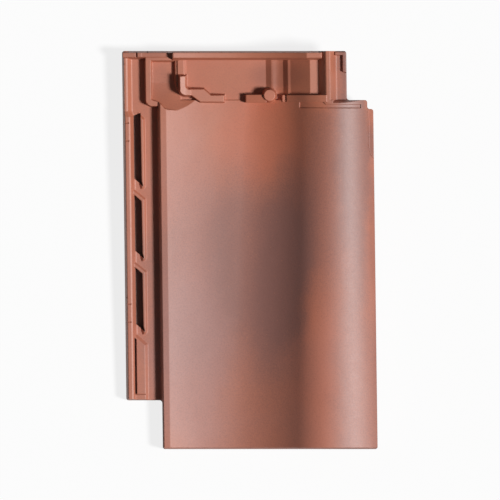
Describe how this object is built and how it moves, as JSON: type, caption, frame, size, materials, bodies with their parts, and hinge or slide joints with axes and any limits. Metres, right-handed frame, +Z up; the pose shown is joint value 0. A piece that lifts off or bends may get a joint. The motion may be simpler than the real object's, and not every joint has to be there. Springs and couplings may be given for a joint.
{
  "type": "roof pantile",
  "caption": "Interlocking clay roof pantile with an S-shaped face, a ribbed side channel, a ribbed head lock and hanging nibs.",
  "frame": {"origin": "middle of the tile's bounding box, on the floor that it lies on", "axes": "+X across the tile towards the roll, +Y towards the head, +Z up"},
  "size_m": [0.271, 0.4232, 0.0598],
  "materials": {
    "clay": "satin"
  },
  "bodies": {
    "root": {"pantile": "clay"}
  },
  "joints": []
}
